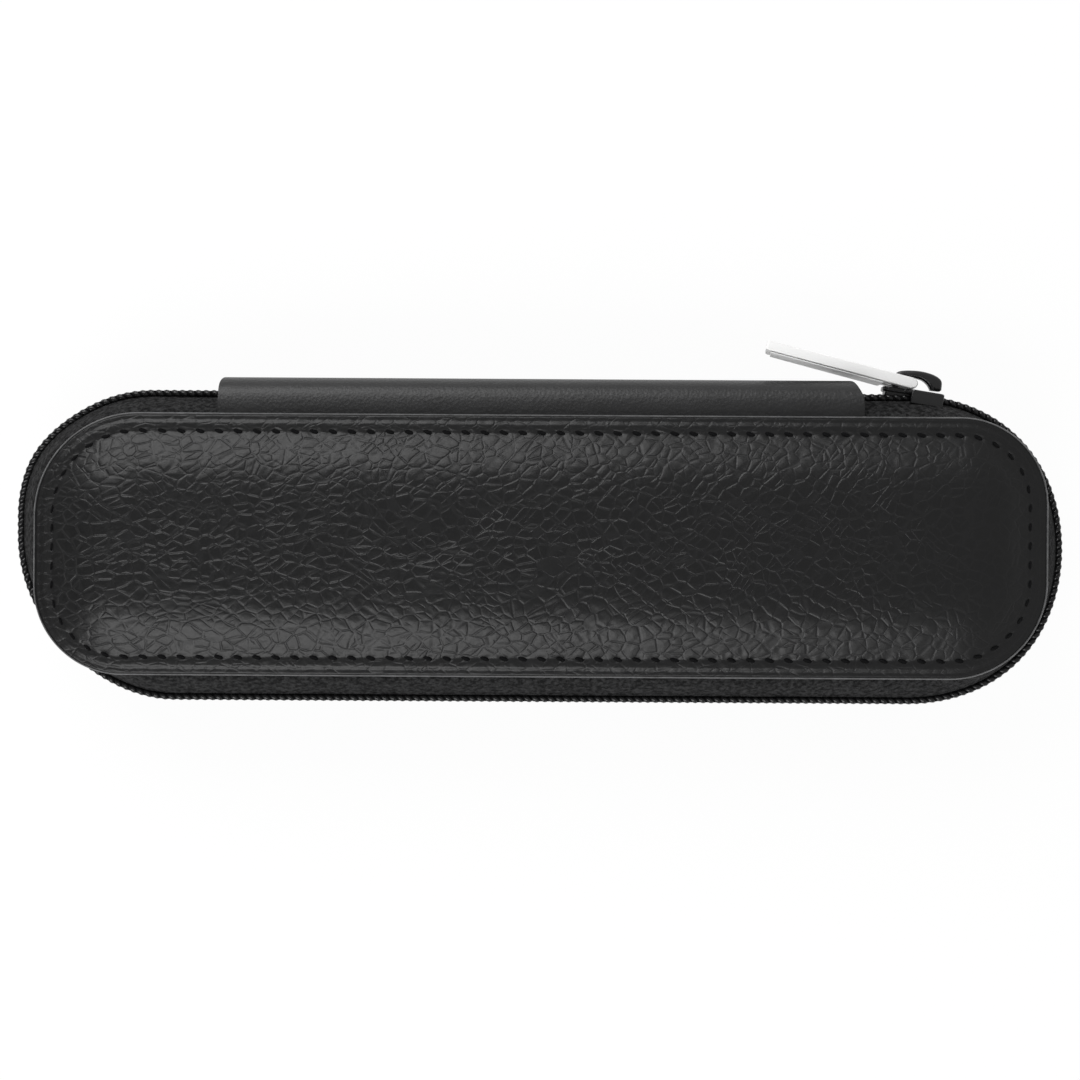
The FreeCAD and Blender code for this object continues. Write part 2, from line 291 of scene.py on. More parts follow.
def shell(outer, inner):
    """A closed shell between two grids of points, with material 0 outside, 1 inside and 2 on its rim."""
    rows, columns = outer.shape[:2]
    count = rows * columns
    vertices = np.concatenate([outer.reshape(-1, 3), inner.reshape(-1, 3)])
    outside = grid_faces(rows, columns)
    inside = grid_faces(rows, columns, count)
    rim = rim_of(rows, columns)
    border = [(here, after, after + count, here + count) for here, after in zip(rim, rim[1:] + rim[:1])]
    indices = [0] * len(outside) + [1] * len(inside) + [2] * len(border)
    return vertices, outside + inside + border, indices


def side_name(side):
    return "front" if side > 0 else "back"


def shell_name(side):
    return side_name(side) + "_shell"


def side_level(side, depth):
    """A height that lies depth from the middle plane, towards the front or the back."""
    return MIDDLE + side * depth


def in_mm(rows):
    """Rows of millimetres, in metres."""
    return [tuple(value * MM for value in row) for row in rows]


def mirrored(corners):
    """All corners (x, y, radius) of a shape, from those on one side of the X axis."""
    return corners + [(x, -y, radius) for x, y, radius in reversed(corners)]


def grid_of(*values):
    """Coordinates joined into points, spread over one shape."""
    return np.stack(np.broadcast_arrays(*values), -1)


def raised(plan, level):
    """Points in plan at one level, or at one each."""
    return np.column_stack([plan, np.broadcast_to(level, len(plan))])


def middle_of(low, high):
    """The middle, in plan, of a box."""
    return np.array(((low[0] + high[0]) / 2, (low[1] + high[1]) / 2))


def places_along(points):
    """The distance of each point along a line."""
    steps = np.linalg.norm(np.diff(points, axis=0), axis=1)
    return np.concatenate([[0], np.cumsum(steps)])


def signed_power(values, power):
    return np.sign(values) * np.abs(values) ** power


def quarter_round(distance, radius):
    """Rises from 0 to 1 over a radius, as a rounded edge does."""
    return np.sqrt(np.clip(1 - (1 - np.minimum(distance / radius, 1)) ** 2, 0, 1))


def unit(vectors):
    return vectors / np.maximum(np.linalg.norm(vectors, axis=-1, keepdims=True), 1e-12)


def sweep(points, half_in, half_out, up, sides=12, power=2.0, closed=False):
    """A tube along points whose section is a superellipse: half_out wide along up, half_in wide across it."""
    points = np.asarray(points, float)
    count = len(points)
    if closed:
        tangents = unit(np.roll(points, -1, 0) - np.roll(points, 1, 0))
    else:
        tangents = unit(np.gradient(points, axis=0))
    up = np.broadcast_to(np.asarray(up, float), (count, 3))
    across = unit(np.cross(tangents, up))
    lift = np.cross(across, tangents)
    angles = np.arange(sides) * 2 * math.pi / sides
    cosine = signed_power(np.cos(angles), 2 / power)[:, None]
    sine = signed_power(np.sin(angles), 2 / power)[:, None]
    half_in = np.broadcast_to(half_in, count)[:, None, None]
    half_out = np.broadcast_to(half_out, count)[:, None, None]
    rings = points[:, None] + across[:, None] * half_in * cosine + lift[:, None] * half_out * sine
    vertices = rings.reshape(-1, 3)
    faces = grid_faces(count, sides, wrap=True)
    if closed:
        base = (count - 1) * sides
        for side in range(sides):
            following = (side + 1) % sides
            faces.append((base + side, base + following, following, side))
    else:
        faces.append(tuple(range(sides)))
        faces.append(tuple((count - 1) * sides + side for side in range(sides)))
    return vertices, faces


def rounded_polygon(corners, steps=6):
    """Points of a polygon whose corners (x, y, radius) are rounded by arcs."""
    points = []
    count = len(corners)
    for index in range(count):
        x, y, radius = corners[index]
        here = Vector((x, y))
        before = Vector(corners[index - 1][:2]) - here
        after = Vector(corners[(index + 1) % count][:2]) - here
        half = before.angle(after) / 2
        reach = radius / math.tan(half)
        start = here + before.normalized() * reach
        end = here + after.normalized() * reach
        for step in range(steps + 1):
            share = step / steps
            lower = start.lerp(here, share)
            upper = here.lerp(end, share)
            points.append(tuple(lower.lerp(upper, share)))
    return points


def plate(outline, thickness, bevel, steps=3):
    """A flat plate in XY with rounded edges."""
    curve = bpy.data.curves.new("plate", "CURVE")
    curve.dimensions = "2D"
    curve.fill_mode = "BOTH"
    curve.extrude = thickness / 2 - bevel
    curve.bevel_depth = bevel
    curve.bevel_resolution = steps
    curve.offset = -bevel
    spline = curve.splines.new("POLY")
    spline.points.add(len(outline) - 1)
    for point, (x, y) in zip(spline.points, outline):
        point.co = (x, y, 0, 1)
    spline.use_cyclic_u = True
    holder = bpy.data.objects.new("plate", curve)
    mesh = bpy.data.meshes.new_from_object(holder)
    vertices = np.array([vertex.co for vertex in mesh.vertices])
    faces = [tuple(polygon.vertices) for polygon in mesh.polygons]
    bpy.data.objects.remove(holder)
    bpy.data.curves.remove(curve)
    bpy.data.meshes.remove(mesh)
    return vertices, faces


def placed(part, matrix):
    """A (vertices, faces) part moved by a matrix."""
    vertices, faces = part
    turn = np.array(matrix.to_3x3())
    return vertices @ turn.T + np.array(matrix.to_translation()), faces


# Lines in plan

def rounded_outline(low, high, radii, step, inset=0):
    """Points of a rounded rectangle, set in from its edge, anticlockwise from its lower right corner."""
    corners = [
        (high[0] - radii[0], low[1] + radii[0], radii[0] - inset, -90),
        (high[0] - radii[1], high[1] - radii[1], radii[1] - inset, 0),
        (low[0] + radii[2], high[1] - radii[2], radii[2] - inset, 90),
        (low[0] + radii[3], low[1] + radii[3], radii[3] - inset, 180),
    ]
    points = []
    for corner, following in zip(corners, corners[1:] + corners[:1]):
        x, y, radius, start = corner
        turns = max(2, round(radius * math.pi / 2 / step))
        for turn in range(turns):
            angle = math.radians(start + 90 * turn / turns)
            points.append((x + radius * math.cos(angle), y + radius * math.sin(angle)))
        angle = math.radians(start + 90)
        normal = np.array((math.cos(angle), math.sin(angle)))
        begin = np.array((x, y)) + radius * normal
        end = np.array(following[:2]) + following[2] * normal
        runs = round(np.linalg.norm(end - begin) / step)
        for run in range(runs):
            points.append(tuple(begin + (end - begin) * run / runs))
    return np.array(points)


class Path:
    """A line in plan that is read by the distance along it."""

    def __init__(self, points, closed=False):
        self.points = np.array(points)
        if closed:
            self.points = np.concatenate([self.points, self.points[:1]])
        self.places = places_along(self.points)
        self.length = self.places[-1]

    def at(self, place):
        return np.stack([np.interp(place, self.places, line) for line in self.points.T], -1)

    def heading(self, place):
        reach = 0.3 * MM
        ahead = self.at(np.minimum(place + reach, self.length))
        behind = self.at(np.maximum(place - reach, 0))
        return unit(ahead - behind)


def corner_radius(x, y, middle, radii):
    """The radius of the corner that each point is nearest to."""
    right = np.where(y > middle[1], radii[1], radii[0])
    left = np.where(y > middle[1], radii[2], radii[3])
    return np.where(x > middle[0], right, left)


def inside_distance(x, y, low, high, radii):
    """How far each point lies inside a rounded rectangle."""
    middle = middle_of(low, high)
    radius = corner_radius(x, y, middle, radii)
    over_x = np.abs(x - middle[0]) - (high[0] - low[0]) / 2 + radius
    over_y = np.abs(y - middle[1]) - (high[1] - low[1]) / 2 + radius
    outside = np.hypot(np.maximum(over_x, 0), np.maximum(over_y, 0))
    return radius - outside - np.minimum(np.maximum(over_x, over_y), 0)


def nearest_on_outline(points, low, high, radii):
    """The nearest point of a rounded rectangle to each point outside it."""
    middle = middle_of(low, high)
    radius = corner_radius(points[:, 0], points[:, 1], middle, radii)
    core_x = np.clip(points[:, 0], low[0] + radius, high[0] - radius)
    core_y = np.clip(points[:, 1], low[1] + radius, high[1] - radius)
    core = np.stack([core_x, core_y], -1)
    return core + unit(points - core) * radius[:, None]


def smoothstep(value):
    value = np.clip(value, 0, 1)
    return value * value * (3 - 2 * value)


# Leather grain

def drift(x, y, size, seed):
    """Smooth noise between -1 and 1 with features of that size."""
    u = x / size
    v = y / size
    column = np.floor(u).astype(int)
    row = np.floor(v).astype(int)
    share_u = smoothstep(u - column)
    share_v = smoothstep(v - row)
    column -= column.min()
    row -= row.min()
    lattice = np.random.default_rng(seed).uniform(-1, 1, (column.max() + 2, row.max() + 2))
    low = lattice[column, row] * (1 - share_u) + lattice[column + 1, row] * share_u
    high = lattice[column, row + 1] * (1 - share_u) + lattice[column + 1, row + 1] * share_u
    return low * (1 - share_v) + high * share_v


def crease_counts(x, y, seed):
    """For each family, a number that is whole on its creases and grows by one from crease to crease."""
    counts = []
    for spacing, slant, change, family_seed in CREASES:
        sine = np.clip(slant + change * x, -MOST_SLANT, MOST_SLANT)
        across = y * np.sqrt(1 - sine ** 2) - slant * x - change * x ** 2 / 2
        count = across / spacing
        for index, (amount, size) in enumerate(WOBBLES):
            count = count + amount * drift(x, y, size, seed + family_seed + index)
        counts.append(count)
    return counts


def grain_height(counts):
    """Height of the leather's cells above the creases round them."""
    gaps = [np.abs(count - np.round(count)) * crease[0] for count, crease in zip(counts, CREASES)]
    return GRAIN_DEPTH * smoothstep(np.minimum.reduce(gaps) / GRAIN_RUN)


# Materials

def new_material(name, colour, roughness, **sockets):
    material = bpy.data.materials.new(name)
    material.use_nodes = True
    shader = material.node_tree.nodes["Principled BSDF"]
    shader.inputs["Base Color"].default_value = (*colour, 1)
    shader.inputs["Roughness"].default_value = roughness
    for socket, value in sockets.items():
        shader.inputs[socket.replace("_", " ")].default_value = value
    return material


def add_node(tree, kind, inputs=None, **settings):
    made = tree.nodes.new(kind)
    for setting, value in settings.items():
        setattr(made, setting, value)
    for socket, value in (inputs or {}).items():
        if isinstance(value, bpy.types.NodeSocket):
            tree.links.new(value, made.inputs[socket])
        else:
            made.inputs[socket].default_value = value
    return made


def shader_of(tree):
    return tree.nodes["Principled BSDF"]


def feed(tree, socket, value):
    tree.links.new(value, shader_of(tree).inputs[socket])


def noise(tree, place, scale, detail=3.0, roughness=0.55):
    inputs = {"Vector": place, "Scale": scale, "Detail": detail, "Roughness": roughness}
    return add_node(tree, "ShaderNodeTexNoise", inputs).outputs["Fac"]


def remap(tree, value, low, high, start=0.0, end=1.0):
    inputs = {"Value": value, "From Min": start, "From Max": end, "To Min": low, "To Max": high}
    return add_node(tree, "ShaderNodeMapRange", inputs).outputs["Result"]


def soften(tree, value, width):
    """Rises from 0 to 1 over a width, slowly at both ends."""
    inputs = {"Value": value, "From Max": width}
    return add_node(tree, "ShaderNodeMapRange", inputs, interpolation_type="SMOOTHSTEP").outputs["Result"]


def tint(tree, value, dark, light, start=0.3, end=0.7):
    ramp = add_node(tree, "ShaderNodeValToRGB", {"Fac": value})
    ramp.color_ramp.elements[0].position = start
    ramp.color_ramp.elements[0].color = (*dark, 1)
    ramp.color_ramp.elements[1].position = end
    ramp.color_ramp.elements[1].color = (*light, 1)
    return ramp.outputs["Color"]


def bump(tree, height, distance, strength=1.0, normal=None):
    inputs = {"Height": height, "Distance": distance, "Strength": strength}
    if normal:
        inputs["Normal"] = normal
    return add_node(tree, "ShaderNodeBump", inputs).outputs["Normal"]


def calculate(tree, operation, first, second):
    return add_node(tree, "ShaderNodeMath", {0: first, 1: second}, operation=operation).outputs[0]


def texture_place(tree, kind, scale=(1, 1, 1)):
    """Places for a texture: kind is Object or UV."""
    place = add_node(tree, "ShaderNodeTexCoord").outputs[kind]
    return add_node(tree, "ShaderNodeMapping", {"Vector": place, "Scale": scale}).outputs["Vector"]


def wave(tree, place, scale, distortion, detail, direction):
    inputs = {"Vector": place, "Scale": scale, "Distortion": distortion, "Detail": detail}
    return add_node(tree, "ShaderNodeTexWave", inputs, bands_direction=direction).outputs["Fac"]


def cells(tree, place, scale, feature="F1", randomness=1.0):
    inputs = {"Vector": place, "Scale": scale, "Randomness": randomness}
    return add_node(tree, "ShaderNodeTexVoronoi", inputs, feature=feature).outputs["Distance"]


def make_grained_leather():
    """Leather with cells that follow the crease numbers stored on the panel's points. Its creases are painted
    a little lighter than the cells, a painted highlight for the lamp light their flanks catch.
    """
    material = new_material("grained_leather", (0.006, 0.006, 0.0063), 0.38, Specular_IOR_Level=0.29)
    tree = material.node_tree
    place = texture_place(tree, "Object")
    stored = add_node(tree, "ShaderNodeAttribute", attribute_name="grain").outputs["Vector"]
    counts = add_node(tree, "ShaderNodeSeparateXYZ", {0: stored}).outputs
    cell_place = add_node(tree, "ShaderNodeCombineXYZ", {0: counts[0], 1: counts[1]}).outputs[0]
    large = cells(tree, cell_place, 0.97, "DISTANCE_TO_EDGE", 0.8)
    small = cells(tree, cell_place, 2.2, "DISTANCE_TO_EDGE", 0.9)
    small = calculate(tree, "ADD", small, remap(tree, noise(tree, place, 300, 2), 0, 0.15, 0.42, 0.6))
    edge = soften(tree, large, 0.12)
    facet = soften(tree, small, 0.12)
    for axis in (0, 1):
        line = calculate(tree, "PINGPONG", counts[axis], 0.5)
        fade = remap(tree, noise(tree, place, 200 + 60 * axis, 1), 0, 0.2, 0.4, 0.55)
        edge = calculate(tree, "MINIMUM", edge, soften(tree, calculate(tree, "ADD", line, fade), 0.1))
    fibre = noise(tree, place, 4200, 3)
    patches = noise(tree, place, 260, 2)
    # Painted highlight: the creases get a lighter base colour than the cells, standing in for lamp light
    # caught on their flanks.
    crease = calculate(tree, "MULTIPLY", calculate(tree, "SUBTRACT", 1.0, edge), counts[2])
    feed(tree, "Base Color", tint(tree, crease, (0.006, 0.006, 0.0062), (0.009, 0.009, 0.0093), 0.0, 1.0))
    feed(tree, "Roughness", remap(tree, fibre, 0.32, 0.44, 0.3, 0.7))
    height = calculate(tree, "ADD", edge, calculate(tree, "MULTIPLY", soften(tree, large, 0.5), 0.8))
    height = calculate(tree, "ADD", height, calculate(tree, "MULTIPLY", facet, 0.12))
    height = calculate(tree, "MULTIPLY", height, counts[2])
    height = calculate(tree, "MULTIPLY", height, remap(tree, patches, 0.6, 1.15, 0.35, 0.65))
    crisp = bump(tree, height, 0.055 * MM)
    feed(tree, "Normal", bump(tree, fibre, 0.015 * MM, 0.5, crisp))
    return material


def make_smooth_leather():
    material = new_material("smooth_leather", (0.009, 0.009, 0.0094), 0.45, Specular_IOR_Level=0.42)
    tree = material.node_tree
    place = texture_place(tree, "Object")
    patches = noise(tree, place, 200, 4)
    feed(tree, "Base Color", tint(tree, patches, (0.006, 0.006, 0.0063), (0.011, 0.011, 0.0115)))
    pebble = cells(tree, place, 1900)
    fibre = noise(tree, place, 5200, 3)
    feed(tree, "Roughness", remap(tree, fibre, 0.38, 0.52, 0.3, 0.7))
    fine = bump(tree, pebble, 0.05 * MM, 0.7)
    feed(tree, "Normal", bump(tree, fibre, 0.03 * MM, 0.5, fine))
    return material


def make_plain(name, colour, roughness, grain, tints=None, polish=None, relief=None,
               stretch=(1, 1, 1), **sockets):
    """A material with one noise, its grain, that varies its colour, roughness (polish) or height (relief)."""
    material = new_material(name, colour, roughness, **sockets)
    tree = material.node_tree
    fine = noise(tree, texture_place(tree, "Object", stretch), *grain)
    if tints:
        feed(tree, "Base Color", tint(tree, fine, *tints))
    if polish:
        feed(tree, "Roughness", remap(tree, fine, *polish, 0.3, 0.7))
    if relief:
        feed(tree, "Normal", bump(tree, fine, *relief))
    return material


def make_zip_tape():
    """Tape in a felted twill: UV runs along and across it in metres."""
    material = new_material("zip_tape", (0.012, 0.012, 0.0125), 0.9, Specular_IOR_Level=0.15)
    tree = material.node_tree
    weave = wave(tree, texture_place(tree, "UV"), 420, 3, 2, "DIAGONAL")
    fuzz = noise(tree, texture_place(tree, "Object"), 1300, 3, 0.7)
    feed(tree, "Base Color", tint(tree, fuzz, (0.0025, 0.0025, 0.0027), (0.03, 0.03, 0.0306), 0.4, 0.64))
    first = bump(tree, weave, 0.08 * MM, 0.6)
    feed(tree, "Normal", bump(tree, fuzz, 0.25 * MM, 0.9, first))
    return material


def make_lining_cloth():
    material = new_material("lining", (0.03, 0.03, 0.032), 0.9, Sheen_Weight=0.35, Sheen_Roughness=0.45)
    tree = material.node_tree
    place = texture_place(tree, "Object")
    nap = noise(tree, place, 1800, 4)
    patches = noise(tree, place, 60, 3)
    feed(tree, "Base Color", tint(tree, patches, (0.022, 0.022, 0.024), (0.04, 0.04, 0.043)))
    feed(tree, "Normal", bump(tree, nap, 0.15 * MM, 0.6))
    return material


def make_elastic():
    """Ribbed elastic: UV runs along and across the band in metres."""
    material = new_material("elastic", (0.02, 0.02, 0.021), 0.8, Sheen_Weight=0.2)
    tree = material.node_tree
    place = texture_place(tree, "UV")
    ribs = wave(tree, place, 160, 0.4, 1, "Y")
    picks = wave(tree, place, 380, 1, 1, "X")
    feed(tree, "Base Color", tint(tree, picks, (0.012, 0.012, 0.013), (0.034, 0.034, 0.036), 0.1, 0.9))
    first = bump(tree, ribs, 0.2 * MM, 0.8)
    feed(tree, "Normal", bump(tree, picks, 0.1 * MM, 0.5, first))
    return material


grained_leather = make_grained_leather()
smooth_leather = make_smooth_leather()
# Edge paint is a real finish on the cut edge. It is made light grey so that it also stands in for the
# highlight the rounded edge catches: partly painted highlight.
edge_paint_and_highlight = make_plain(
    "edge_paint_and_highlight", (0.09, 0.09, 0.0915), 0.45, (900, 4),
    tints=((0.06, 0.06, 0.061), (0.11, 0.11, 0.112)), relief=(0.03 * MM, 0.6))
thread = make_plain(
    "thread", (0.003, 0.003, 0.0032), 0.9, (5000, 2), Specular_IOR_Level=0.1,
    tints=((0.002, 0.002, 0.0022), (0.005, 0.005, 0.0055)), relief=(0.05 * MM, 0.6))
zip_tape = make_zip_tape()
zip_coil = make_plain(
    "zip_coil", (0.008, 0.008, 0.0085), 0.28, (2500, 3), Specular_IOR_Level=0.36,
    tints=((0.004, 0.004, 0.0043), (0.009, 0.009, 0.0095)), polish=(0.2, 0.36))
lining_cloth = make_lining_cloth()
elastic = make_elastic()
black_metal = make_plain(
    "black_metal", (0.006, 0.006, 0.0065), 0.3, (1500, 3), Coat_Weight=0.15, Coat_Roughness=0.2,
    polish=(0.24, 0.4), relief=(0.01 * MM, 0.4))
satin_metal = make_plain(
    "satin_metal", (0.86, 0.86, 0.855), 0.4, (1, 3), Metallic=0.1, stretch=(60, 60, 2600),
    polish=(0.3, 0.46), relief=(0.01 * MM, 0.4))
board = make_plain(
    "board", (0.25, 0.22, 0.18), 0.9, (700, 5),
    tints=((0.2, 0.175, 0.14), (0.3, 0.265, 0.22)), relief=(0.05 * MM, 0.5))


# Panels

def sheet_grid(low, high, radii, rows, columns):
    """A grid over a rounded rectangle. Its rows end on the outline, and are closer near the long sides."""
    turn = np.linspace(-1, 1, rows + 1)
    y = (low[1] + high[1]) / 2 + (high[1] - low[1]) / 2 * (0.6 * turn + 0.4 * np.sin(turn * math.pi / 2))

    def set_in(low_radius, high_radius):
        below = np.maximum(low[1] + low_radius - y, 0) / low_radius
        above = np.maximum(y - high[1] + high_radius, 0) / high_radius
        radius = np.where(below > 0, low_radius, high_radius)
        return radius * (1 - np.sqrt(np.clip(1 - (below + above) ** 2, 0, 1)))

    left = low[0] + set_in(radii[3], radii[2])
    right = high[0] - set_in(radii[0], radii[1])
    share = np.linspace(0, 1, columns + 1)
    x = left[:, None] + (right - left)[:, None] * share[None]
    return x, np.broadcast_to(y[:, None], x.shape)


def capped_sheet(grid, height, low, high, level, side, pocket=None):
    """A closed sheet whose grid stands height above a flat base at level, towards side on Z.

    A pocket (inset, depth) hollows the base.
    """
    x, y = grid
    top = grid_of(x, y, level + side * height)
    rows, columns = x.shape
    vertices = [top.reshape(-1, 3)]
    faces = grid_faces(rows, columns)
    above = rim_of(rows, columns)
    edge = vertices[0][above]
    loops = [(0, 0)]
    if pocket:
        loops += [(pocket[0], 0), pocket]
    middle = middle_of(low, high)
    half = np.array(((high[0] - low[0]) / 2, (high[1] - low[1]) / 2))
    start = rows * columns
    for inset, lift in loops:
        loop = edge.copy()
        loop[:, :2] = middle + (edge[:, :2] - middle) * (half - inset) / half
        loop[:, 2] = level + side * lift
        vertices.append(loop)
        below = list(range(start, start + len(loop)))
        start += len(loop)
        for here, after, under, next_under in zip(above, above[1:] + above[:1], below, below[1:] + below[:1]):
            faces.append((here, under, next_under, after))
        above = below
    faces.append(tuple(above))
    return np.concatenate(vertices), faces


panel_low = Vector((front_low.x + EDGE_PAINT + LEFT_SET_IN, front_low.y + EDGE_PAINT))
panel_high = Vector((front_high.x - EDGE_PAINT, front_high.y - EDGE_PAINT))
seam = Path(rounded_outline(panel_low, panel_high, PANEL_RADII, 0.1 * MM, SEAM_INSET), closed=True)
stitch_count = round(seam.length / STITCH_PITCH)
stitch_step = seam.length / stitch_count
seam_tree = KDTree(len(seam.points))
for seam_index, seam_point in enumerate(seam.points):
    seam_tree.insert((*seam_point, 0), seam_index)
seam_tree.balance()


def margin_height(distance):
    """The flat turned edge, the step up inside it and the sunk line of the stitches."""
    edge = EDGE_HEIGHT * (0.6 + 0.4 * quarter_round(distance, EDGE_ROUND))
    step = STEP_HEIGHT * smoothstep((distance - STEP_INSET) / STEP_RUN)
    slope = MARGIN_RISE * np.clip((distance - STEP_INSET) / (SEAM_INSET - STEP_INSET), 0, 1)
    valley = SEAM_DEPTH * np.exp(-(((distance - SEAM_INSET) / SEAM_WIDTH) ** 2))
    return edge + step + slope - valley


def panel_form(y, distance):
    """The padded panel without its grain."""
    inner = np.maximum(distance - SEAM_INSET, 0)
    pad = PANEL_HEIGHT - margin_height(MARGIN_END) - PAD_CROWN - GRAIN_DEPTH
    rise = pad * (1 - np.exp(-((inner / PAD_RUN) ** PAD_POWER)))
    across = (y - (panel_low.y + panel_high.y) / 2) / (panel_high.y - panel_low.y) * 2
    crown = PAD_CROWN * (1 - across ** 2) * smoothstep(inner / CROWN_RUN)
    return margin_height(distance) + rise + crown


def stitch_dimples(x, y, distance):
    """How deep the thread pulls the leather down at each stitch."""
    depth = np.zeros(x.shape)
    for row, column in np.argwhere(np.abs(distance - SEAM_INSET) < DIMPLE_REACH):
        _, index, _ = seam_tree.find((x[row, column], y[row, column], 0))
        along = ((seam.places[index] / stitch_step) % 1 - 0.5) * stitch_step
        across = distance[row, column] - SEAM_INSET
        depth[row, column] = math.exp(-((along / DIMPLE_LENGTH) ** 4) - (across / DIMPLE_WIDTH) ** 2)
    return DIMPLE_DEPTH * depth


def grain_strength(x, distance):
    """How strong the grain is: less on the margin and at the right, none at the edge."""
    fade = MARGIN_GRAIN + (1 - MARGIN_GRAIN) * smoothstep((distance - SEAM_INSET) / SEAM_FADE)
    right = sum(loss * smoothstep((x - start) / run) for loss, start, run in RIGHT_FADES)
    return fade * smoothstep(distance / EDGE_FADE) * (1 - right)


def panel_level(side):
    """The height of a panel's sewn edge."""
    return front_low.z if side > 0 else back_high.z


def make_panel(side):
    """The padded leather of one panel with its edge paint, whose light grey is partly a painted highlight
    along the edge.
    """
    name = side_name(side)
    body = shell_name(side)
    level = panel_level(side)
    x, y = sheet_grid(panel_low, panel_high, PANEL_RADII, PANEL_ROWS, PANEL_COLUMNS)
    distance = np.maximum(inside_distance(x, y, panel_low, panel_high, PANEL_RADII), 0)
    counts = crease_counts(x, y, PANEL_SEEDS[side])
    fade = grain_strength(x, distance)
    height = panel_form(y, distance) + grain_height(counts) * fade - stitch_dimples(x, y, distance)
    part = capped_sheet((x, y), height, panel_low, panel_high, level, side, (POCKET_INSET, POCKET_DEPTH))
    nodes = (name + "_cover", name + "_padding")
    panel = piece(name + "_leather", [(*part, 0)], [grained_leather], body, nodes, 60)
    grain = np.full((len(panel.data.vertices), 3), 0.5, np.float32)
    grain[:x.size] = np.stack([*counts, fade], -1).reshape(-1, 3)
    panel.data.attributes.new("grain", "FLOAT_VECTOR", "POINT").data.foreach_set("vector", grain.ravel())
    # The edge trim: its light grey edge paint is partly a painted highlight.
    edge = rounded_outline(panel_low, panel_high, PANEL_RADII, 0.6 * MM)
    line = raised(edge, level + side * EDGE_HEIGHT * 0.55)
    trim = sweep(line, EDGE_PAINT, EDGE_HEIGHT * 0.5, (0, 0, 1), 10, 2.6, closed=True)
    piece(name + "_edge_trim_with_painted_highlight", [(*trim, 0)], [edge_paint_and_highlight], body)


def stitch(place, heading, level, side, radius, length=STITCH_LENGTH):
    """One stitch with its middle at a place, that dives at both ends."""
    shares = np.linspace(-1, 1, 9)
    plan = place + shares[:, None] * heading * length / 2
    dive = STITCH_DIVE * np.abs(shares) ** 4
    return (*sweep(raised(plan, level - side * dive), radius, radius, (0, 0, 1), 8), 0)


def make_stitching(side):
    """The thread that shows on the leather: one slanted stitch after another, finer across the ends."""
    parts = []
    level = panel_level(side) + side * (margin_height(SEAM_INSET) - DIMPLE_DEPTH + STITCH_LIFT)
    for index in range(stitch_count):
        place = (index + 0.5) * stitch_step
        heading = seam.heading(place)
        across = abs(heading[1])
        slant = STITCH_SLANT * (1 - 0.7 * across)
        radius = STITCH_RADIUS * (1 - 0.35 * across)
        turn = np.array(((math.cos(slant), -math.sin(slant)), (math.sin(slant), math.cos(slant))))
        parts.append(stitch(seam.at(place), turn @ heading, level, side, radius))
    name = side_name(side)
    piece(name + "_stitches", parts, [thread], shell_name(side), (name + "_stitching",))


for side in SIDES:
    make_panel(side)
for side in SIDES:
    make_stitching(side)
    stiffener = frame["nodes"][side_name(side) + "_board"].data
    stiffener.materials.clear()
    stiffener.materials.append(board)


# Linings

def make_lining(side):
    """The cloth on the inside of one panel, turned in and stitched round its edge."""
    name = side_name(side)
    body = shell_name(side)
    level = lining_high.z if side > 0 else back_lining_low.z
    radii = PANEL_RADII - (lining_low.x - front_low.x)
    x, y = sheet_grid(lining_low, lining_high, radii, 60, 160)
    full = lining_high.z - lining_low.z - LINING_GAP

    def height_at(x, y):
        distance = np.maximum(inside_distance(x, y, lining_low, lining_high, radii), 0)
        rounded = quarter_round(distance, LINING_ROUND)
        seam_line = LINING_SEAM_DEPTH * np.exp(-(((distance - LINING_SEAM) / LINING_SEAM_WIDTH) ** 2))
        puff = PUFF_HEIGHT * np.sin(x / PUFF_SIZE[0]) * np.sin(y / PUFF_SIZE[1])
        return full * (0.5 + 0.5 * rounded) - seam_line + puff

    part = capped_sheet((x, y), height_at(x, y), lining_low, lining_high, level, -side)
    made = piece(name + "_lining_cloth", [(*part, 0)], [lining_cloth], body, (name + "_lining",))
    path = Path(rounded_outline(lining_low, lining_high, radii, 0.3 * MM, LINING_SEAM), closed=True)
    parts = []
    for place in np.arange(0, path.length - STITCH_PITCH / 2, STITCH_PITCH):
        point = path.at(place)
        top = level - side * height_at(*point)
        parts.append(stitch(point, path.heading(place), top, -side, FINE_STITCH))
    piece(name + "_lining_stitches", parts, [thread], body)


for side in SIDES:
    make_lining(side)


# Zip

def lie_of_ring(points):
    """The zip's line as it lies: a little squarer at the right, pushed towards the spine at the left."""
    made = points.copy()
    from_turn = points - np.array(slider_turn[:2])
    angle = np.arctan2(from_turn[:, 1], from_turn[:, 0])
    right = from_turn[:, 0] > 0
    made[right] += from_turn[right] * (RING_BULGE * np.sin(2 * angle[right]) ** 2)[:, None]
    left = smoothstep((SHIFT_START[0] - points[:, 0]) / SHIFT_RUN[0])
    made[:, 1] += RING_SHIFT * left * (1 - smoothstep((points[:, 1] - SHIFT_START[1]) / SHIFT_RUN[1]))
    return made


def open_ring(inset, step):
    """The zip's line, from its left end behind the spine round to its right end."""
    points = rounded_outline(ring_low, ring_high, RING_RADII, step, inset)
    spine_side = points[:, 1] > ring_high.y - inset - 0.01 * MM
    covered = spine_side & (np.abs(points[:, 0]) < TUCK_X)
    first = np.flatnonzero(covered)[-1] + 1
    order = np.roll(np.arange(len(points)), -first)
    order = order[~covered[order]]
    return lie_of_ring(points[order])


def halves(points):
    """The two halves of a zip line, which share a point at the middle of the lower run."""
    lower = np.flatnonzero(points[:, 1] < slider_turn.y)
    middle = lower[np.argmin(np.abs(points[lower, 0]))]
    return {"left": slice(0, middle + 1), "right": slice(middle, len(points))}


